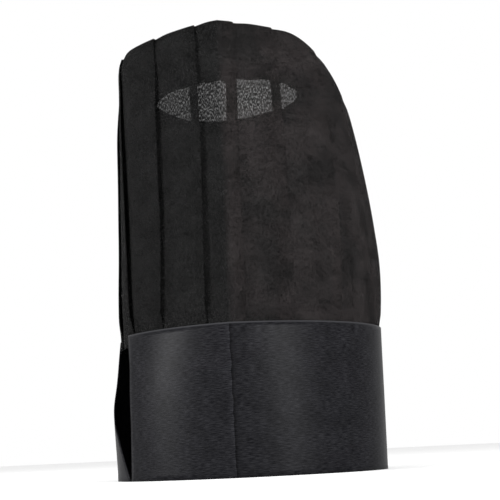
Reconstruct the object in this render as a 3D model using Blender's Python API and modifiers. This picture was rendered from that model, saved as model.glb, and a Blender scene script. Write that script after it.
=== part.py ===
"""Disposable chef hat: a tall pleated toque of black nonwoven cloth, standing on its rim.

Metres, +Z up. The front crease faces -Y and the closure of the band is on the -X side.
Angles run round the hat in degrees, from 0 at the front crease towards +X.
"""
import math

import bmesh
import bpy
from mathutils import Vector

# Driving sizes
HAT_HEIGHT = 0.300       # rim to the top of the front crease
BAND_HEIGHT = 0.098
HALF_WIDTH = 0.094       # half the head band, side to side
HALF_DEPTH = 0.090       # half the head band, front to back
CREASE_REACH = 0.0065    # how far the front crease stands out
CREASE_RISE = 0.004      # how much higher the top edge stands at the crease

CLOTH = 0.0010           # thickness of the crown's cloth
BAND_CLOTH = 0.0012      # thickness of the band
LAYER_GAP = 0.0004       # air between the layers of a fold
SEAT_GAP = 0.0004        # air between the crown's foot and the band round it
SEAM_OVERLAP = 0.008     # how far the crown's foot goes down inside the band

PLEATS = 18
UNDERLAP = 0.0065        # how far each pleat is folded back under its edge
FOLD_EASE = 0.0015       # flat stretch of the top layer past the underlap

VENT_HALF_WIDTH = 0.0525
VENT_HALF_DEPTH = 0.0485
VENT_DROP = 0.0242       # the vent's edge lies this far below the front of the top edge
VENT_TO_LEFT = 0.007     # the vent's centre lies off the hat's middle, to -X
VENT_TO_BACK = 0.009
VENT_CLIMB = 0.0022      # the vent's right end lies this far above its middle, its left end below

SHOULDER_DROP = 0.0435   # how far the top edge sinks at the low shoulder
SHOULDER_ANGLE = 98
SHOULDER_SPREAD = 72     # degrees each side of it over which the edge sinks
BACK_DROP = 0.0155       # how far the top edge sinks at the back
BACK_ANGLE = -162
BACK_SPREAD = 76

SLIT_WIDTH = 0.060       # widest part of the wedge between the band's two ends

CREASE_SPREAD = 46       # degrees each side over which the crease fades out

# Sections of the crown, from the band's top edge (rise 0) to the top edge (rise 1).
# left and right are shares of HALF_WIDTH, near and far of HALF_DEPTH, tip of CREASE_REACH.
# oval_left and oval_right are 1 for a plain oval and less for one with squarer corners.
CROWN_SECTIONS = (
    # rise, left, right, near, far, tip, oval_left, oval_right
    (0.15, 0.944, 1.028, 0.975, 0.985, 0.95, 1.00, 1.00),
    (0.30, 0.930, 1.035, 0.968, 0.978, 0.95, 0.98, 1.00),
    (0.45, 0.916, 1.020, 0.958, 0.970, 0.98, 0.94, 0.98),
    (0.60, 0.904, 0.993, 0.945, 0.958, 1.00, 0.90, 0.96),
    (0.75, 0.893, 0.956, 0.933, 0.945, 1.03, 0.85, 0.94),
    (0.88, 0.884, 0.917, 0.922, 0.935, 1.10, 0.81, 0.92),
    (0.97, 0.878, 0.882, 0.912, 0.925, 1.35, 0.77, 0.915),
)
TOP_EDGE = (1.00, 0.856, 0.850, 0.885, 0.892, 1.55, 0.74, 0.905)

# Sections of the band, from the rim (rise 0) to its top edge (rise 1), in the same shares.
BAND_SECTIONS = (
    # rise, left, right, near, far, tip, oval_left, oval_right
    (0.00, 1.000, 1.005, 0.983, 1.000, 0.25, 1.00, 1.00),
    (0.06, 1.000, 1.005, 0.983, 1.000, 0.25, 1.00, 1.00),
    (0.55, 1.018, 1.012, 0.980, 1.000, 0.60, 1.00, 1.00),
    (0.82, 0.990, 1.015, 0.978, 1.000, 0.85, 1.00, 1.00),
    (1.00, 0.960, 1.018, 0.977, 1.000, 1.00, 1.00, 1.00),
)

# How far the pleats stand off their even places round the hat, in degrees.
PLEAT_SHIFT = (
    # angle, at_band, at_top
    (-180, 0.0, 0.0),
    (-120, 0.0, -2.0),
    (-90, 0.0, -8.0),
    (-70, 0.0, -14.0),
    (-50, -2.0, -15.0),
    (-30, -1.5, 2.8),
    (-10, 0.0, 3.6),
    (10, -3.5, -4.0),
    (30, -4.5, -6.0),
    (50, -2.0, -1.0),
    (90, 0.0, 0.0),
    (180, 0.0, 0.0),
)

# The wedge between the band's ends, from the rim up: where the front end stands, in degrees,
# and how much of SLIT_WIDTH is open.
SLIT_SHAPE = (
    # rise, front_end, open
    (0.00, -52.6, 0.02),
    (0.16, -51.6, 0.23),
    (0.30, -50.7, 0.42),
    (0.40, -50.2, 0.63),
    (0.62, -50.4, 1.00),
    (0.80, -52.0, 1.00),
    (1.00, -56.3, 0.81),
)

# The turned-in top, from its edge (way 0) to the vent (way 1): fall is the share of the drop.
TOP_ROWS = (
    # way, fall
    (0.12, 0.03),
    (0.45, 0.36),
    (0.75, 0.74),
    (1.00, 1.00),
)

BAND_STEPS = 64                  # faces round the band
BAND_ROWS = (0.0, 0.06, 0.18, 0.30, 0.42, 0.60, 0.80, 1.0)
PANEL_STEPS = (0.25, 0.50)       # lines down each panel, as shares of the pleat's pitch

CROWN_BLACK = (0.018, 0.017, 0.018)
CROWN_ROUGHNESS = 0.9
BAND_BLACK = (0.028, 0.028, 0.031)
BAND_ROUGHNESS = 0.85


def lerp(a, b, share):
    return a + (b - a) * share


def read_table(table, key):
    """Interpolate a table's row at a value of its first column."""
    for low, high in zip(table, table[1:]):
        if key <= high[0]:
            share = max(0.0, (key - low[0]) / (high[0] - low[0]))
            return tuple(lerp(a, b, share) for a, b in zip(low, high))
    return tuple(table[-1])


def turn_off(angle, centre):
    """The angle between two directions, 0 to 180 degrees."""
    return abs((angle - centre + 180) % 360 - 180)


def crease_fade(angle):
    """1 on the front crease, falling to 0 where it has faded out."""
    return max(0.0, 1 - turn_off(angle, 0) / CREASE_SPREAD) ** 2


def outline(section, angle, inset=0.0):
    """A point of a horizontal section: a lopsided oval with a crease at the front."""
    _, left, right, near, far, tip, oval_left, oval_right = section
    side = math.sin(math.radians(angle))
    front = math.cos(math.radians(angle))
    half_width = HALF_WIDTH * (right if side > 0 else left) - inset
    half_depth = HALF_DEPTH * (near if front > 0 else far) - inset
    oval = oval_right if side > 0 else oval_left
    crease = CREASE_REACH * tip * crease_fade(angle)
    x = half_width * math.copysign(abs(side) ** oval, side)
    y = -half_depth * math.copysign(abs(front) ** oval, front) - crease
    return x, y


def top_edge_height(angle):
    """The top edge has its peak at the crease and sinks at the low shoulder and the back."""
    height = HAT_HEIGHT - CREASE_RISE * (1 - crease_fade(angle))
    sinks = (
        (SHOULDER_DROP, SHOULDER_ANGLE, SHOULDER_SPREAD),
        (BACK_DROP, BACK_ANGLE, BACK_SPREAD),
    )
    for drop, centre, spread in sinks:
        off = turn_off(angle, centre) / spread
        if off < 1:
            height -= drop * 0.5 * (1 + math.cos(math.pi * off))
    return height


def crown_rows():
    """Names of the crown's rows from its foot to the vent: a zone and a place in it."""
    rows = [("foot", 0.0), ("foot", 1.0)]
    rows += [("wall", section[0]) for section in CROWN_SECTIONS]
    rows += [("wall", 1.0)]
    rows += [("top", way) for way, _ in TOP_ROWS]
    return rows


def crown_point(row, angle):
    """The outermost layer of the crown's cloth, at its mid thickness."""
    zone, place = row
    seat = BAND_CLOTH / 2 + SEAT_GAP + CLOTH / 2
    if zone == "foot":
        height = lerp(BAND_HEIGHT - SEAM_OVERLAP, BAND_HEIGHT, place)
        x, y = outline(read_table(BAND_SECTIONS, height / BAND_HEIGHT), angle, seat)
        return Vector((x, y, height))
    edge_height = top_edge_height(angle)
    if zone == "wall":
        x, y = outline(read_table(CROWN_SECTIONS + (TOP_EDGE,), place), angle)
        return Vector((x, y, lerp(BAND_HEIGHT, edge_height, place)))
    x, y = outline(TOP_EDGE, angle)
    fall = read_table(((0.0, 0.0),) + TOP_ROWS, place)[1]
    side = math.sin(math.radians(angle))
    vent = Vector((
        VENT_HALF_WIDTH * side - VENT_TO_LEFT,
        VENT_TO_BACK - VENT_HALF_DEPTH * math.cos(math.radians(angle)),
        HAT_HEIGHT - VENT_DROP + VENT_CLIMB * side,
    ))
    return Vector((lerp(x, vent.x, place), lerp(y, vent.y, place), lerp(edge_height, vent.z, fall)))


def pleat_angle(row, angle):
    """Where a line of the crown that starts at an angle on the band stands in a row."""
    zone, place = row
    _, at_band, at_top = read_table(PLEAT_SHIFT, (angle + 180) % 360 - 180)
    rise = {"foot": 0.0, "wall": place, "top": 1.0}[zone]
    return angle + lerp(at_band, at_top, rise)


def cloth_point(row, angle):
    """Where the line of cloth that starts at an angle on the band crosses a row."""
    return crown_point(row, pleat_angle(row, angle))


def cloth_normal(rows, index, angle):
    """Outward normal of the crown's outermost layer."""
    below = rows[max(index - 1, 0)]
    above = rows[min(index + 1, len(rows) - 1)]
    along = cloth_point(rows[index], angle + 1) - cloth_point(rows[index], angle - 1)
    up = cloth_point(above, angle) - cloth_point(below, angle)
    return along.cross(up).normalized()


def pleat_section():
    """One turn of the folded cloth: angle on the band, and layers down from the top layer.

    Each panel lies on top of the next one: at its edge the cloth turns back under it for
    the underlap, turns again and comes out as the next panel, which rises to the top layer.
    """
    pitch = 360 / PLEATS
    under = math.degrees(UNDERLAP / HALF_WIDTH)
    rise_end = pitch - math.degrees((UNDERLAP + FOLD_EASE) / HALF_WIDTH)
    points = []
    for pleat in range(PLEATS):
        edge = pitch * (pleat - 0.5)
        points += [(edge, 0), (edge, 1), (edge - under, 1), (edge - under, 2), (edge, 2)]
        for share in PANEL_STEPS:
            points.append((edge + pitch * share, 2 * (1 - pitch * share / rise_end)))
        points.append((edge + rise_end, 0))
    return points


def new_object(name, mesh, collection, colour, roughness):
    """Put a mesh in the scene with a material of its own."""
    material = bpy.data.materials.new(name + "_cloth")
    material.use_nodes = True
    shader = material.node_tree.nodes["Principled BSDF"]
    shader.inputs["Base Color"].default_value = (*colour, 1.0)
    shader.inputs["Roughness"].default_value = roughness
    shader.inputs["Metallic"].default_value = 0.0
    mesh.materials.append(material)
    piece = bpy.data.objects.new(name, mesh)
    collection.objects.link(piece)
    return piece


def thicken(piece, thickness):
    """Give an open sheet its thickness, half to each side."""
    solid = piece.modifiers.new("thickness", "SOLIDIFY")
    solid.thickness = thickness
    solid.offset = 0.0
    solid.solidify_mode = "NON_MANIFOLD"
    solid.nonmanifold_thickness_mode = "EVEN"


def lofted_sheet(name, lines, closed):
    """A sheet through rows of points: one row of edges, extruded to each next row."""
    sheet = bmesh.new()
    first = [sheet.verts.new(point) for point in lines[0]]
    pairs = list(zip(first, first[1:]))
    if closed:
        pairs.append((first[-1], first[0]))
    edges = [sheet.edges.new(pair) for pair in pairs]
    row = first
    for line in lines[1:]:
        made = bmesh.ops.extrude_edge_only(sheet, edges=edges)["geom"]
        edges = [item for item in made if isinstance(item, bmesh.types.BMEdge)]
        above = {}
        for vert in (item for item in made if isinstance(item, bmesh.types.BMVert)):
            for edge in vert.link_edges:
                other = edge.other_vert(vert)
                if other not in made:
                    above[other] = vert
        row = [above[vert] for vert in row]
        for vert, point in zip(row, line):
            vert.co = point
    sheet.normal_update()
    mesh = bpy.data.meshes.new(name)
    sheet.to_mesh(mesh)
    sheet.free()
    return mesh


def build_crown(collection):
    """The pleated wall and the turned-in top, one folded sheet."""
    rows = crown_rows()
    layer = CLOTH + LAYER_GAP
    lines = []
    for index, row in enumerate(rows):
        line = []
        for angle, depth in pleat_section():
            line.append(cloth_point(row, angle) - cloth_normal(rows, index, angle) * depth * layer)
        lines.append(line)
    mesh = lofted_sheet("crown", lines, closed=True)
    crown = new_object("crown", mesh, collection, CROWN_BLACK, CROWN_ROUGHNESS)
    thicken(crown, CLOTH)
    return crown


def slit_angles(rise):
    """The band's front end and far end at a height, in degrees."""
    _, front_end, share = read_table(SLIT_SHAPE, rise)
    return front_end, front_end - math.degrees(SLIT_WIDTH * share / HALF_WIDTH)


def build_band(collection):
    """The head band: one strip from its front end, round the back, to its far end."""
    lines = []
    for rise in BAND_ROWS:
        section = read_table(BAND_SECTIONS, rise)
        front_end, far_end = slit_angles(rise)
        line = []
        for step in range(BAND_STEPS + 1):
            angle = lerp(front_end, far_end + 360, step / BAND_STEPS)
            x, y = outline(section, angle)
            line.append(Vector((x, y, BAND_HEIGHT * rise)))
        lines.append(line)
    mesh = lofted_sheet("band", lines, closed=False)
    band = new_object("band", mesh, collection, BAND_BLACK, BAND_ROUGHNESS)
    thicken(band, BAND_CLOTH)
    return band


def centre_on_origin(pieces):
    """Bring the middle of the pieces' own box, in plan, to the origin."""
    bpy.context.view_layer.update()
    graph = bpy.context.evaluated_depsgraph_get()
    corners = [Vector(corner) for piece in pieces for corner in piece.evaluated_get(graph).bound_box]
    for axis in (0, 1):
        values = [corner[axis] for corner in corners]
        middle = (min(values) + max(values)) / 2
        for piece in pieces:
            piece.location[axis] = -middle


def main():
    for item in list(bpy.data.objects):
        bpy.data.objects.remove(item)
    collection = bpy.data.collections.new("disposable_chef_hat")
    bpy.context.scene.collection.children.link(collection)
    pieces = [build_crown(collection), build_band(collection)]
    centre_on_origin(pieces)


main()
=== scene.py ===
"""Disposable chef hat: a tall pleated toque of black nonwoven cloth, standing on its rim.

Metres, +Z up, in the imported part's own frame. The front crease faces -Y and the band closes
on the -X side. Angles run round the hat in degrees, from 0 at the front crease towards +X.
"""
import math

import bmesh
import bpy
from mathutils import Matrix, Vector, noise


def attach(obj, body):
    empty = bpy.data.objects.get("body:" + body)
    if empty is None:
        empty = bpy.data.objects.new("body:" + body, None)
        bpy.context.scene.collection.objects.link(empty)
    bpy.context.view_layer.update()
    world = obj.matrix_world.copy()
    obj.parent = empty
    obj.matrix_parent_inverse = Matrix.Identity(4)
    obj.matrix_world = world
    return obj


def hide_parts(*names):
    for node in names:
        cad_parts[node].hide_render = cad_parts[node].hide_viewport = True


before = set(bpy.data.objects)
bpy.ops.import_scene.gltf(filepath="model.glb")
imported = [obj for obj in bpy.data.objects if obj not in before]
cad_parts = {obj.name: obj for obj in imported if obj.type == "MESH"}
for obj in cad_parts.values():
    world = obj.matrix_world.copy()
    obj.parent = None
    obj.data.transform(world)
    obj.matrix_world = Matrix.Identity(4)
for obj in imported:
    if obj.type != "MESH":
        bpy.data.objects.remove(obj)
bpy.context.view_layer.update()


# The crown: one sheet of light spunbond nonwoven, folded into eighteen knife pleats that all
# lie the same way, pressed into a crease at the front, and turned in at the top down to an
# open vent. It is joined end to end into a tube, and its foot is glued inside the band.
HAT_HEIGHT = 0.300       # to the peak at the front crease
BAND_HEIGHT = 0.098
HALF_WIDTH = 0.094       # half the hat at the rim, before each section's shares
HALF_DEPTH = 0.090
MIDDLE = Vector((-0.000988, 0.002148, 0.0))   # the hat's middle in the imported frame
CREASE_REACH = 0.0065    # how far the front crease stands out, and rises at the top edge
CREASE_RISE = 0.004
CREASE_SPREAD = 46       # degrees to each side over which it fades out
SEAM_OVERLAP = 0.008     # the band goes up over the crown's foot by this much
CROWN_SEAT = 0.0011      # the crown's foot lies this far inside the middle of the band

PLEATS = 18
PITCH = 360 / PLEATS
CROWN_CLOTH = 0.0003
LAYER = 0.0005           # from one layer of a fold to the next
UNDERLAP_WIDTH = 0.0065  # cloth that is folded under each fold edge
UNDERLAP = math.degrees(UNDERLAP_WIDTH / HALF_WIDTH)
FOLD_RADIUS = 0.0004
FOLD_ROUND = math.degrees(FOLD_RADIUS / HALF_WIDTH)
FOLD_COLUMNS = 7         # columns of the grid in a fold, and then one for each panel step
PANEL_STEPS = (0.0, 0.07, 0.16, 0.28, 0.40, 0.50, 0.60, 0.73, 0.86)
CREASE_STEP = 0.50
PANEL_RISE = 0.42        # share of a panel over which it comes up from under the last one
PANEL_PUFF = 0.0007      # how far a panel swells in its middle
EDGE_WANDER = 0.5        # degrees that a fold edge strays from its line

WAVE = 0.0011            # soft waves of the standing cloth, and the smaller ripples on them
WAVE_WIDTH = 0.05
WAVE_LENGTH = 0.13
RIPPLE_SHARE = 0.35
RIPPLE_WIDTH = 0.017
RIPPLE_LENGTH = 0.06
FREE_OVER = 0.07         # share of the wall over which the cloth comes free of the band
STIFFER_FROM = 0.70      # share of the wall above which the turned-in top holds it
TOP_FREEDOM = 0.15

VENT_HALF_WIDTH = 0.0525
VENT_HALF_DEPTH = 0.0485
VENT_DROP = 0.0242       # how far the vent lies below the peak, and then off the middle
VENT_TO_LEFT = 0.007
VENT_TO_BACK = 0.009
VENT_CLIMB = 0.0022      # the vent's right end lies this far above its middle, its left end below

SHOULDER_DROP = 0.0435   # the top edge sinks at the right shoulder, and less at the back left
SHOULDER_ANGLE = 98
SHOULDER_SPREAD = 72
BACK_DROP = 0.0155
BACK_ANGLE = -162
BACK_SPREAD = 76

# A section's columns: its share of the piece's height, its reach to each side as shares of
# HALF_WIDTH and HALF_DEPTH, its share of CREASE_REACH, and how square its two sides are: 1
# is an ellipse, and less is squarer. The crown's foot follows the band's top section.
BAND_SECTIONS = (
    # rise, left, right, near, far, tip, oval_left, oval_right
    (0.00, 1.000, 1.005, 0.983, 1.000, 0.25, 1.00, 1.00),
    (0.06, 1.000, 1.005, 0.983, 1.000, 0.25, 1.00, 1.00),
    (0.55, 1.018, 1.012, 0.980, 1.000, 0.60, 1.00, 1.00),
    (0.82, 0.990, 1.015, 0.978, 1.000, 0.85, 1.00, 1.00),
    (1.00, 0.960, 1.018, 0.977, 1.000, 1.00, 1.00, 1.00),
)
CROWN_SECTIONS = (
    # rise, left, right, near, far, tip, oval_left, oval_right
    (0.00, 0.948, 1.006, 0.965, 0.988, 1.00, 1.00, 1.00),
    (0.15, 0.944, 1.028, 0.975, 0.985, 0.95, 1.00, 1.00),
    (0.30, 0.930, 1.035, 0.968, 0.978, 0.95, 0.98, 1.00),
    (0.45, 0.916, 1.020, 0.958, 0.970, 0.98, 0.94, 0.98),
    (0.60, 0.904, 0.993, 0.945, 0.958, 1.00, 0.90, 0.96),
    (0.75, 0.893, 0.956, 0.933, 0.945, 1.03, 0.85, 0.94),
    (0.88, 0.884, 0.917, 0.922, 0.935, 1.10, 0.81, 0.92),
    (0.97, 0.878, 0.882, 0.912, 0.925, 1.35, 0.77, 0.915),
    (1.00, 0.856, 0.850, 0.885, 0.892, 1.55, 0.74, 0.905),
)
PLEAT_SHIFT = (
    # angle, at_band, at_top: degrees that the fold edges stand off their even places
    (-180, 0.0, 0.0),
    (-120, 0.0, -2.0),
    (-90, 0.0, -8.0),
    (-70, 0.0, -14.0),
    (-50, -2.0, -15.0),
    (-30, -1.5, 2.8),
    (-10, 0.0, 3.6),
    (10, -3.5, -4.0),
    (30, -4.5, -6.0),
    (50, -2.0, -1.0),
    (90, 0.0, 0.0),
    (180, 0.0, 0.0),
)
FOLD_LIFT = (
    # angle, how far a fold edge springs off the panel under it, in metres
    (-180, 0.0008),
    (-110, 0.0012),
    (-70, 0.0022),
    (-50, 0.0024),
    (-30, 0.0024),
    (-10, 0.0021),
    (10, 0.00015),
    (50, 0.00020),
    (90, 0.0005),
    (180, 0.0008),
)
TOP_FALL = (
    # way from the top edge to the vent, share of the drop
    (0.00, 0.00),
    (0.12, 0.03),
    (0.45, 0.36),
    (0.75, 0.74),
    (1.00, 1.00),
)
FOOT_ROWS = (0.0, 0.6)
WALL_ROWS = 48
TOP_WAYS = (0.015, 0.04, 0.08, 0.14, 0.22, 0.32, 0.43, 0.55, 0.67, 0.79, 0.90, 1.0)


def lerp(a, b, share):
    """The value a share of the way from a to b."""
    return a + (b - a) * share


def ease(value):
    """0 to 1 with a soft start and end."""
    value = min(1.0, max(0.0, value))
    return value * value * (3 - 2 * value)


def read_table(table, key):
    """A table's row at a value of its first column, on a smooth curve through the rows."""
    last = len(table) - 1
    key = min(max(key, table[0][0]), table[last][0])
    index = next(i for i in range(last) if key <= table[i + 1][0])
    low, high = table[index], table[index + 1]
    before, after = table[max(index - 1, 0)], table[min(index + 2, last)]
    span = high[0] - low[0]
    t = (key - low[0]) / span
    row = []
    for column in range(len(low)):
        start = (high[column] - before[column]) / (high[0] - before[0]) * span
        end = (after[column] - low[column]) / (after[0] - low[0]) * span
        row.append(
            low[column] * (2 * t**3 - 3 * t**2 + 1)
            + start * (t**3 - 2 * t**2 + t)
            + high[column] * (3 * t**2 - 2 * t**3)
            + end * (t**3 - t**2)
        )
    return row


def half_turn(angle):
    """The same direction as an angle from -180 to 180 degrees."""
    return (angle + 180) % 360 - 180


def crease_fade(angle):
    """1 on the front crease, falling to 0 where it has faded out."""
    return max(0.0, 1 - abs(half_turn(angle)) / CREASE_SPREAD) ** 2


def outline(section, angle, inset=0.0):
    """A point of a horizontal section: a lopsided oval with a crease at the front."""
    _, left, right, near, far, tip, oval_left, oval_right = section
    side = math.sin(math.radians(angle))
    front = math.cos(math.radians(angle))
    half_width = HALF_WIDTH * (right if side > 0 else left) - inset
    half_depth = HALF_DEPTH * (near if front > 0 else far) - inset
    oval = oval_right if side > 0 else oval_left
    x = half_width * math.copysign(abs(side) ** oval, side)
    y = -half_depth * math.copysign(abs(front) ** oval, front)
    return x, y - CREASE_REACH * tip * crease_fade(angle)


def top_edge_height(angle):
    """The top edge has its peak at the crease and sinks at the low shoulder and the back."""
    height = HAT_HEIGHT - CREASE_RISE * (1 - crease_fade(angle))
    sinks = (
        (SHOULDER_DROP, SHOULDER_ANGLE, SHOULDER_SPREAD),
        (BACK_DROP, BACK_ANGLE, BACK_SPREAD),
    )
    for drop, centre, spread in sinks:
        off = abs(half_turn(angle - centre)) / spread
        if off < 1:
            height -= drop * 0.5 * (1 + math.cos(math.pi * off))
    return height


def crown_point(row, angle):
    """The outermost layer of the crown's cloth."""
    zone, place = row
    if zone == "foot":
        x, y = outline(read_table(BAND_SECTIONS, 1.0), angle, CROWN_SEAT)
        return Vector((x, y, lerp(BAND_HEIGHT - SEAM_OVERLAP, BAND_HEIGHT, place)))
    edge_height = top_edge_height(angle)
    if zone == "wall":
        x, y = outline(read_table(CROWN_SECTIONS, place), angle)
        return Vector((x, y, lerp(BAND_HEIGHT, edge_height, place)))
    x, y = outline(CROWN_SECTIONS[-1], angle)
    side = math.sin(math.radians(angle))
    vent = Vector((
        VENT_HALF_WIDTH * side - VENT_TO_LEFT,
        VENT_TO_BACK - VENT_HALF_DEPTH * math.cos(math.radians(angle)),
        HAT_HEIGHT - VENT_DROP + VENT_CLIMB * side,
    ))
    fall = read_table(TOP_FALL, place)[1]
    return Vector((lerp(x, vent.x, place), lerp(y, vent.y, place), lerp(edge_height, vent.z, fall)))


def fold_edge(row, pleat):
    """Where a pleat's fold edge stands in a row, in degrees."""
    angle = PITCH * (pleat - 0.5)
    _, at_band, at_top = read_table(PLEAT_SHIFT, half_turn(angle))
    rise = {"foot": 0.0, "wall": row[1], "top": 1.0}[row[0]]
    wander = EDGE_WANDER * ease(rise * 4) * noise.noise(Vector((pleat * 7.3, rise * 2.6, 0.0)))
    return angle + lerp(at_band, at_top, rise) + wander


def freedom(row):
    """How free the cloth is to spring: 0 in the seam with the band, less at the top edge."""
    zone, place = row
    if zone == "foot":
        return 0.0
    if zone == "wall":
        held = ease((place - STIFFER_FROM) / (1 - STIFFER_FROM))
        return ease(place / FREE_OVER) * lerp(1.0, TOP_FREEDOM, held)
    return TOP_FREEDOM


def pleat_columns(row, pleat):
    """One pleat across a row: angle, and how far out the cloth stands, in metres.

    Each pleat, and each use, reads its own place in the noise.
    """
    edge, following = fold_edge(row, pleat), fold_edge(row, pleat + 1)
    free = freedom(row)
    spring = read_table(FOLD_LIFT, half_turn(PITCH * (pleat - 0.5)))[1]
    lift = spring * free * (1 + 0.5 * noise.noise(Vector((pleat * 3.1, row[1] * 2.0, 4.0))))
    puff = PANEL_PUFF * free * (1 + noise.noise(Vector((pleat * 5.7, row[1] * 1.5, 8.0))))
    columns = [
        (edge - FOLD_ROUND, lift),
        (edge, lift - 0.5 * LAYER),
        (edge - FOLD_ROUND, lift - LAYER),
        (edge - 0.5 * UNDERLAP, 0.4 * lift - LAYER),
        (edge - UNDERLAP + FOLD_ROUND, -LAYER),
        (edge - UNDERLAP, -1.5 * LAYER),
        (edge - UNDERLAP + FOLD_ROUND, -2 * LAYER),
    ]
    for step in PANEL_STEPS:
        angle = lerp(edge, following, step)
        if pleat == 0:
            # the panel with the front crease in it: its middle column is the crease itself
            if step <= CREASE_STEP:
                angle = lerp(edge, 0.0, step / CREASE_STEP)
            else:
                angle = lerp(0.0, following, (step - CREASE_STEP) / (1 - CREASE_STEP))
        out = -2 * LAYER * (1 - ease(step / PANEL_RISE)) + lift * step**3
        out += puff * math.sin(math.pi * step)
        columns.append((angle, out))
    return columns


def soft_wave(point):
    """Soft dents and swells of cloth that stands by itself, taller than they are wide."""
    wave = noise.noise(
        Vector((point.x / WAVE_WIDTH, point.y / WAVE_WIDTH, point.z / WAVE_LENGTH))
    )
    ripple = noise.noise(
        Vector((point.x / RIPPLE_WIDTH, point.y / RIPPLE_WIDTH, point.z / RIPPLE_LENGTH + 9.0))
    )
    return WAVE * (wave + RIPPLE_SHARE * ripple)


def crown_lines():
    """The folded crown, row by row from its foot to the vent."""
    rows = [("foot", place) for place in FOOT_ROWS]
    rows += [("wall", step / WALL_ROWS) for step in range(WALL_ROWS + 1)]
    rows += [("top", way) for way in TOP_WAYS]
    lines = []
    for index, row in enumerate(rows):
        below, above = rows[max(index - 1, 0)], rows[min(index + 1, len(rows) - 1)]
        line = []
        for pleat in range(-PLEATS // 2, PLEATS // 2):
            for angle, out in pleat_columns(row, pleat):
                point = crown_point(row, angle)
                along = crown_point(row, angle + 1) - crown_point(row, angle - 1)
                up = crown_point(above, angle) - crown_point(below, angle)
                outward = along.cross(up).normalized()
                wave = soft_wave(point) * freedom(row)
                line.append(point + MIDDLE + outward * (out + wave))
        line.append(line[0])
        lines.append(line)
    return lines


def lengths_along(points):
    """How far along a line of points each one lies, in metres."""
    lengths = [0.0]
    for near, far in zip(points, points[1:]):
        lengths.append(lengths[-1] + (far - near).length)
    return lengths


def folded_sheet(name, lines, closed, sharp_columns):
    """Cut a flat grid of cloth, mark its flat places in metres as its UV map, and fold it.

    lines are the folded places, row by row. The grid starts 1 wide and 1 high round the
    origin. Returns the mesh, the flat size, the area and each column's flat place.
    """
    up, across = len(lines) - 1, len(lines[0]) - 1
    flat_x = lengths_along(lines[up // 2])
    flat_y = lengths_along([line[across // 2] for line in lines])
    sheet = bmesh.new()
    flat_place = sheet.loops.layers.uv.new("flat_place")
    bmesh.ops.create_grid(sheet, x_segments=across, y_segments=up, size=0.5)
    cell = {v: (round((v.co.x + 0.5) * across), round((v.co.y + 0.5) * up)) for v in sheet.verts}
    for face in sheet.faces:
        face.smooth = True
        for loop in face.loops:
            column, row = cell[loop.vert]
            loop[flat_place].uv = (flat_x[column], flat_y[row])
    for edge in sheet.edges:
        first, second = (cell[vert] for vert in edge.verts)
        edge.smooth = not (first[0] == second[0] and first[0] in sharp_columns)
    for vert, (column, row) in cell.items():
        vert.co = lines[row][column]
    if closed:
        seam = [vert for vert, (column, _) in cell.items() if column in (0, across)]
        bmesh.ops.remove_doubles(sheet, verts=seam, dist=1e-7)
    sheet.normal_update()
    area = sum(face.calc_area() for face in sheet.faces)
    mesh = bpy.data.meshes.new(name)
    sheet.to_mesh(mesh)
    sheet.free()
    return mesh, (flat_x[-1], flat_y[-1]), area, flat_x


def new_piece(mesh, thickness):
    """Put a sheet's mesh in the scene and give it its thickness, half to each side."""
    piece = bpy.data.objects.new(mesh.name, mesh)
    bpy.context.scene.collection.objects.link(piece)
    solid = piece.modifiers.new("thickness", "SOLIDIFY")
    solid.thickness = thickness
    solid.offset = 0.0
    return piece


crease_column = PLEATS // 2 * (FOLD_COLUMNS + len(PANEL_STEPS))
crease_column += FOLD_COLUMNS + PANEL_STEPS.index(CREASE_STEP)
crown_mesh, crown_flat_size, crown_area, crown_places = folded_sheet(
    "crown_sheet", crown_lines(), True, {crease_column}
)
CREASE_FLAT = crown_places[crease_column]
crown_sheet = new_piece(crown_mesh, CROWN_CLOTH)


def linear(hex_colour):
    """An sRGB hex colour as linear red, green and blue, with alpha 1."""
    channels = [int(hex_colour[i:i + 2], 16) / 255 for i in (1, 3, 5)]
    return (*((c / 12.92 if c <= 0.04045 else ((c + 0.055) / 1.055) ** 2.4) for c in channels), 1.0)


def add_node(material, kind, inputs=(), **settings):
    """Add a node: its own settings, then its sockets' values or the sockets they link to.

    A colour mix has its two colours in sockets 6 and 7 and its result in socket 2.
    """
    tree = material.node_tree
    node = tree.nodes.new(kind)
    for name, value in settings.items():
        setattr(node, name, value)
    for name, value in dict(inputs).items():
        if isinstance(value, bpy.types.NodeSocket):
            tree.links.new(value, node.inputs[name])
        else:
            node.inputs[name].default_value = value
    return node


def new_cloth(name, roughness, specular):
    """A cloth's material, its shader and its UV map. Both cloths are polypropylene."""
    cloth = bpy.data.materials.new(name)
    cloth.use_nodes = True
    shader = cloth.node_tree.nodes["Principled BSDF"]
    shader.inputs["Roughness"].default_value = roughness
    shader.inputs["IOR"].default_value = 1.49
    shader.inputs["Specular IOR Level"].default_value = specular
    return cloth, shader, add_node(cloth, "ShaderNodeTexCoord").outputs["UV"]


# Black spunbond polypropylene nonwoven: fine fibres laid at random and bonded with heat. It
# is matt, a little cloudy where more or fewer fibres lie, faintly streaked up the web, and so
# open that one layer lets specks of light through and three layers don't.
SPECK_WIDTH = 0.0006     # gaps between the fibres, drawn coarser than the real 0.3 mm
SPECK_LENGTH = 0.0018
STREAK_WIDTH = 0.0012    # bundles of fibres, drawn coarser than the real 0.2 mm or so
STREAK_LENGTH = 0.0028
CLOUD = 0.016            # where more or fewer fibres lie
PAINTED_LIGHT_BLOTCH = 0.030           # blotches in the painted light to the right of the crease
FIBRE_HEIGHT = 0.0002    # how far the fibres stand up
MORE_OPEN = 0.04         # how much more open the web is to the right of the crease
PAINTED_LIGHT_FROM = -0.001       # painted light, a lighter and browner tone, starts at the crease and ends at the hat's back: places along the web, from the crease
PAINTED_LIGHT_FULL = 0.004        # places along the web, from the crease
PAINTED_LIGHT_FADES = 0.20
PAINTED_LIGHT_ENDS = 0.32
WEB_NEUTRAL = "#0e0e0e"
WEB_PAINTED_LIGHT = "#191717"

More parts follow.
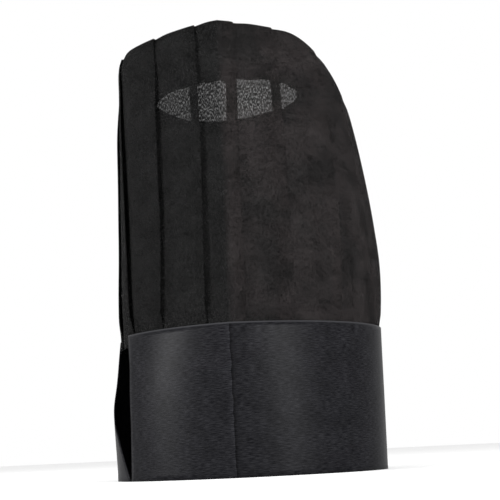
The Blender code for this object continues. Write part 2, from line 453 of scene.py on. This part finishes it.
crown_cloth, crown_shader, crown_flat = new_cloth("black_spunbond_nonwoven", 0.85, 0.02)
along_web = add_node(crown_cloth, "ShaderNodeSeparateXYZ", {0: crown_flat}).outputs["X"]
streak_place = add_node(
    crown_cloth, "ShaderNodeMapping",
    {"Vector": crown_flat, "Scale": (1 / STREAK_WIDTH, 1 / STREAK_LENGTH, 1.0)},
)
streaks = add_node(
    crown_cloth, "ShaderNodeTexNoise",
    {"Vector": streak_place.outputs[0], "Scale": 1.0, "Detail": 3.0, "Roughness": 0.75},
)
clouds = add_node(
    crown_cloth, "ShaderNodeTexNoise",
    {"Vector": crown_flat, "Scale": 1 / CLOUD, "Detail": 5.0, "Roughness": 0.62},
)
painted_light_blotch_noise = add_node(
    crown_cloth, "ShaderNodeTexNoise",
    {"Vector": crown_flat, "Scale": 1 / PAINTED_LIGHT_BLOTCH, "Detail": 4.0, "Roughness": 0.6},
)
speck_place = add_node(
    crown_cloth, "ShaderNodeMapping",
    {"Vector": crown_flat, "Scale": (1 / SPECK_WIDTH, 1 / SPECK_LENGTH, 1.0)},
)
specks = add_node(
    crown_cloth, "ShaderNodeTexNoise",
    {"Vector": speck_place.outputs[0], "Scale": 1.0, "Detail": 1.0, "Roughness": 0.6},
)
# the web is more open from the crease round to the right, and there it is painted lighter, browner
# and blotchy, for light that shines on and through the cloth
past_crease = add_node(
    crown_cloth, "ShaderNodeMapRange",
    {
        "Value": along_web,
        "From Min": CREASE_FLAT + PAINTED_LIGHT_FROM,
        "From Max": CREASE_FLAT + PAINTED_LIGHT_FULL,
    },
)
before_back = add_node(
    crown_cloth, "ShaderNodeMapRange",
    {
        "Value": along_web,
        "From Min": CREASE_FLAT + PAINTED_LIGHT_FADES,
        "From Max": CREASE_FLAT + PAINTED_LIGHT_ENDS,
        "To Min": 1.0,
        "To Max": 0.0,
    },
)
painted_light_side = add_node(
    crown_cloth, "ShaderNodeMath",
    {0: past_crease.outputs["Result"], 1: before_back.outputs["Result"]}, operation="MULTIPLY",
)
painted_light_blotches = add_node(
    crown_cloth, "ShaderNodeMapRange",
    {"Value": painted_light_blotch_noise.outputs[0], "From Min": 0.38, "From Max": 0.56, "To Min": 0.3},
)
painted_light_share = add_node(
    crown_cloth, "ShaderNodeMath",
    {0: painted_light_side.outputs[0], 1: painted_light_blotches.outputs["Result"]}, operation="MULTIPLY",
)
# the cloth's own neutral black, mixed with the painted light to the right of the crease
crown_hue_and_painted_light = add_node(
    crown_cloth, "ShaderNodeMix",
    {"Factor": painted_light_share.outputs[0], 6: linear(WEB_NEUTRAL), 7: linear(WEB_PAINTED_LIGHT)},
    data_type="RGBA",
)
cloudy = add_node(
    crown_cloth, "ShaderNodeMapRange",
    {"Value": clouds.outputs[0], "From Min": 0.35, "From Max": 0.65, "To Min": 0.76, "To Max": 1.3},
)
streaky = add_node(
    crown_cloth, "ShaderNodeMapRange",
    {
        "Value": streaks.outputs[0], "From Min": 0.30, "From Max": 0.70, "To Min": 0.35,
        "To Max": 1.65,
    },
)
tone = add_node(
    crown_cloth, "ShaderNodeMath",
    {0: cloudy.outputs["Result"], 1: streaky.outputs["Result"]}, operation="MULTIPLY",
)
crown_colour = add_node(
    crown_cloth, "ShaderNodeVectorMath",
    {0: crown_hue_and_painted_light.outputs[2], "Scale": tone.outputs[0]}, operation="SCALE",
)
fibres = add_node(
    crown_cloth, "ShaderNodeMapRange",
    {
        "Value": specks.outputs[0], "From Min": 0.42, "From Max": 0.64, "To Min": 0.99,
        "To Max": 0.60,
    },
)
closeness = add_node(
    crown_cloth, "ShaderNodeMath",
    {0: past_crease.outputs["Result"], 1: -MORE_OPEN, 2: fibres.outputs["Result"]},
    operation="MULTIPLY_ADD",
)
crown_bump = add_node(
    crown_cloth, "ShaderNodeBump",
    {"Height": streaks.outputs[0], "Strength": 0.3, "Distance": FIBRE_HEIGHT},
)
crown_cloth.node_tree.links.new(crown_colour.outputs[0], crown_shader.inputs["Base Color"])
crown_cloth.node_tree.links.new(closeness.outputs[0], crown_shader.inputs["Alpha"])
crown_cloth.node_tree.links.new(crown_bump.outputs["Normal"], crown_shader.inputs["Normal"])

crown_mesh.materials.append(crown_cloth)
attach(crown_sheet, "root")
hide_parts("crown")


# The head band: one strip of heavier black nonwoven, folded along the front crease and bent
# round outside the crown's foot to two free ends, which meet at the rim on the left and stand
# apart above it.
BAND_CLOTH = 0.0008
SLIT_WIDTH = 0.060
SLIT_SHAPE = (
    # rise, front end in degrees, share of the slit's width that is open
    (0.00, -52.6, 0.02),
    (0.16, -51.6, 0.23),
    (0.30, -50.7, 0.42),
    (0.40, -50.2, 0.63),
    (0.62, -50.4, 1.00),
    (0.80, -52.0, 1.00),
    (1.00, -56.3, 0.81),
)
BAND_ROWS = 28
FRONT_STEPS = 30         # columns from the band's front end to the crease
FAR_STEPS = 130          # and from the crease round the back to its far end


def slit_angles(rise):
    """The band's front end and far end at a height, in degrees."""
    _, front_end, share = read_table(SLIT_SHAPE, rise)
    return front_end, front_end - math.degrees(SLIT_WIDTH * share / HALF_WIDTH)


def band_lines():
    """The band, row by row from the rim to its top edge."""
    lines = []
    for row in range(BAND_ROWS + 1):
        rise = row / BAND_ROWS
        section = read_table(BAND_SECTIONS, rise)
        front_end, far_end = slit_angles(rise)
        angles = [lerp(front_end, 0.0, step / FRONT_STEPS) for step in range(FRONT_STEPS)]
        angles += [lerp(0.0, far_end + 360, step / FAR_STEPS) for step in range(FAR_STEPS + 1)]
        line = []
        for angle in angles:
            x, y = outline(section, angle)
            line.append(Vector((x, y, BAND_HEIGHT * rise)) + MIDDLE)
        lines.append(line)
    return lines


band_mesh, band_flat_size, band_area, band_places = folded_sheet(
    "band_strip", band_lines(), False, {FRONT_STEPS}
)
BAND_CREASE_FLAT = band_places[FRONT_STEPS]
band_strip = new_piece(band_mesh, BAND_CLOTH)

# Heavier black nonwoven: the same kind of fibres, pressed smooth into a thicker, closed
# sheet. It is bluer and greyer than the crown, has a soft gloss and a fibrous grain along the
# strip, and is rubbed paler along its front crease. The crease itself is a line of painted
# shade, and the cut top edge has a painted highlight.
GRAIN_HEIGHT = 0.0005    # strands of fibres, drawn coarser than the real 0.2 mm or so
GRAIN_LENGTH = 0.0045
BAND_CLOUD = 0.014       # where more or fewer fibres lie
CREASE_WANDER = 0.0030   # how far the crease strays from its line
CREASE_WOBBLES = 110.0   # in a metre of the crease
CREASE_WEAR_AND_SHADE_HALF_WIDTH = 0.0045    # half the width of the strip that is rubbed paler and has painted shade in the crease
CUT_EDGE = 0.0006        # the painted highlight along the top edge, where the cut edge catches the light
GRAIN_DARK = "#070709"
GRAIN_PALE = "#1b1b1d"
CUT_HIGHLIGHT = "#2c2c2e"

band_cloth, band_shader, band_flat = new_cloth("black_heavy_nonwoven", 0.38, 0.022)
band_split = add_node(band_cloth, "ShaderNodeSeparateXYZ", {0: band_flat})
grain_place = add_node(
    band_cloth, "ShaderNodeMapping",
    {"Vector": band_flat, "Scale": (1 / GRAIN_LENGTH, 1 / GRAIN_HEIGHT, 1.0)},
)
grain = add_node(
    band_cloth, "ShaderNodeTexNoise",
    {"Vector": grain_place.outputs[0], "Scale": 1.0, "Detail": 3.0, "Roughness": 0.7},
)
band_tone = add_node(
    band_cloth, "ShaderNodeMapRange",
    {"Value": grain.outputs[0], "From Min": 0.40, "From Max": 0.66},
)
band_grain = add_node(
    band_cloth, "ShaderNodeMix",
    {"Factor": band_tone.outputs["Result"], 6: linear(GRAIN_DARK), 7: linear(GRAIN_PALE)},
    data_type="RGBA",
)
up_band = add_node(
    band_cloth, "ShaderNodeMapping", {"Vector": band_flat, "Scale": (0.0, CREASE_WOBBLES, 0.0)}
)
wobble = add_node(
    band_cloth, "ShaderNodeTexNoise",
    {"Vector": up_band.outputs[0], "Scale": 1.0, "Detail": 3.0, "Roughness": 0.6},
)
crease_off = add_node(
    band_cloth, "ShaderNodeMath",
    {0: wobble.outputs[0], 1: CREASE_WANDER, 2: band_split.outputs["X"]}, operation="MULTIPLY_ADD",
)
crease_way = add_node(
    band_cloth, "ShaderNodeMapRange",
    {
        "Value": crease_off.outputs[0],
        "From Min": BAND_CREASE_FLAT + CREASE_WANDER / 2 - CREASE_WEAR_AND_SHADE_HALF_WIDTH,
        "From Max": BAND_CREASE_FLAT + CREASE_WANDER / 2 + CREASE_WEAR_AND_SHADE_HALF_WIDTH,
    },
)
crease_wear_and_shade = add_node(band_cloth, "ShaderNodeValToRGB", {0: crease_way.outputs["Result"]})
crease_wear_and_shade.color_ramp.elements[0].color = (1.0, 1.0, 1.0, 1.0)
crease_wear_and_shade.color_ramp.elements[1].color = (1.0, 1.0, 1.0, 1.0)
# across the strip the crease itself is a dark line of painted shade, with a rubbed, paler left side
# that is wear
for place, value in ((0.36, 1.25), (0.46, 1.5), (0.50, 0.35), (0.56, 0.5), (0.70, 0.85)):
    stop = crease_wear_and_shade.color_ramp.elements.new(place)
    stop.color = (value, value, value, 1.0)
band_clouds = add_node(
    band_cloth, "ShaderNodeTexNoise",
    {"Vector": band_flat, "Scale": 1 / BAND_CLOUD, "Detail": 4.0, "Roughness": 0.6},
)
band_cloudy = add_node(
    band_cloth, "ShaderNodeMapRange",
    {
        "Value": band_clouds.outputs[0], "From Min": 0.35, "From Max": 0.65, "To Min": 0.82,
        "To Max": 1.18,
    },
)
band_web = add_node(
    band_cloth, "ShaderNodeVectorMath",
    {0: band_grain.outputs[2], "Scale": band_cloudy.outputs["Result"]}, operation="SCALE",
)
band_worn_and_shaded = add_node(
    band_cloth, "ShaderNodeMix",
    {"Factor": 1.0, 6: band_web.outputs[0], 7: crease_wear_and_shade.outputs[0]},
    data_type="RGBA", blend_type="MULTIPLY",
)
# a painted highlight along the cut top edge
cut_edge_highlight = add_node(
    band_cloth, "ShaderNodeMapRange",
    {
        "Value": band_split.outputs["Y"],
        "From Min": band_flat_size[1] - 2 * CUT_EDGE,
        "From Max": band_flat_size[1] - CUT_EDGE,
        "To Max": 0.8,
    },
)
band_colour = add_node(
    band_cloth, "ShaderNodeMix",
    {"Factor": cut_edge_highlight.outputs[0], 6: band_worn_and_shaded.outputs[2], 7: linear(CUT_HIGHLIGHT)},
    data_type="RGBA",
)
band_bump = add_node(
    band_cloth, "ShaderNodeBump",
    {"Height": grain.outputs[0], "Strength": 0.25, "Distance": FIBRE_HEIGHT},
)
band_cloth.node_tree.links.new(band_colour.outputs[2], band_shader.inputs["Base Color"])
band_cloth.node_tree.links.new(band_bump.outputs["Normal"], band_shader.inputs["Normal"])

band_mesh.materials.append(band_cloth)
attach(band_strip, "root")
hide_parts("band")


# The floor: a wide pale matt sheet, level with the rim. It isn't part of the hat, and its far
# end shows as a faint line.
FLOOR_REACH = 12.0

floor_mesh = bpy.data.meshes.new("floor")
floor_grid = bmesh.new()
bmesh.ops.create_grid(floor_grid, x_segments=1, y_segments=1, size=FLOOR_REACH)
floor_grid.to_mesh(floor_mesh)
floor_grid.free()
floor = bpy.data.objects.new("floor", floor_mesh)
bpy.context.scene.collection.objects.link(floor)
pale = bpy.data.materials.new("pale_floor")
pale.use_nodes = True
pale_shader = pale.node_tree.nodes["Principled BSDF"]
pale_shader.inputs["Base Color"].default_value = linear("#ececec")
pale_shader.inputs["Roughness"].default_value = 0.9
floor_mesh.materials.append(pale)


# The light: a white studio all round, a wide soft light from the left and a narrower one
# from the right, which give the band its two pale stripes.
LIGHT_DISTANCE = 1.5
LIGHT_AIM = Vector((0.0, 0.0, 0.12))
LIGHTS = (
    # name, turn from the front in degrees, height in metres, power in watts, width in metres
    ("left_light", -65.0, 0.35, 39.0, 0.4),
    ("right_light", 39.0, 0.35, 38.0, 0.3),
)

world = bpy.data.worlds.new("white_studio")
world.use_nodes = True
white = world.node_tree.nodes["Background"]
white.inputs["Color"].default_value = (1.0, 1.0, 1.0, 1.0)
white.inputs["Strength"].default_value = 1.0
bpy.context.scene.world = world
bpy.context.scene.view_settings.view_transform = "Standard"

for name, turn, height, power, width in LIGHTS:
    lamp_data = bpy.data.lights.new(name, "AREA")
    lamp_data.energy = power
    lamp_data.size = width
    lamp = bpy.data.objects.new(name, lamp_data)
    lamp.location = (
        LIGHT_DISTANCE * math.sin(math.radians(turn)),
        -LIGHT_DISTANCE * math.cos(math.radians(turn)),
        height,
    )
    lamp.rotation_euler = (LIGHT_AIM - lamp.location).to_track_quat("-Z", "Y").to_euler()
    bpy.context.scene.collection.objects.link(lamp)


# The camera: close to the floor and close to the hat, a little to the right of the front
# crease, and looking up a little.
CAMERA_DISTANCE = 0.80
CAMERA_HEIGHT = 0.015
CAMERA_TURN = math.radians(6.0)
CAMERA_PITCH = math.radians(8.25)
CAMERA_ROLL = math.radians(2.74)
CAMERA_ASIDE = 0.0035
CAMERA_LENS = 81.0       # in millimetres, on a sensor this wide
CAMERA_SENSOR = 36.0
CAMERA_SHIFT = 0.08

upward = Vector((0.0, 0.0, 1.0))
level_back = Vector((math.sin(CAMERA_TURN), -math.cos(CAMERA_TURN), 0.0))
level_right = Vector((math.cos(CAMERA_TURN), math.sin(CAMERA_TURN), 0.0))
back = level_back * math.cos(CAMERA_PITCH) - upward * math.sin(CAMERA_PITCH)
above = upward * math.cos(CAMERA_PITCH) + level_back * math.sin(CAMERA_PITCH)
right = level_right * math.cos(CAMERA_ROLL) - above * math.sin(CAMERA_ROLL)
top = above * math.cos(CAMERA_ROLL) + level_right * math.sin(CAMERA_ROLL)
camera_place = (
    level_back * CAMERA_DISTANCE + upward * CAMERA_HEIGHT + level_right * CAMERA_ASIDE
)
camera_data = bpy.data.cameras.new("camera")
camera_data.lens = CAMERA_LENS
camera_data.sensor_width = CAMERA_SENSOR
camera_data.shift_y = CAMERA_SHIFT
camera_data.clip_start = 0.01
camera = bpy.data.objects.new("camera", camera_data)
camera_turn = Matrix((right, top, back)).transposed().to_4x4()
camera.matrix_world = Matrix.Translation(camera_place) @ camera_turn
bpy.context.scene.collection.objects.link(camera)
bpy.context.scene.camera = camera
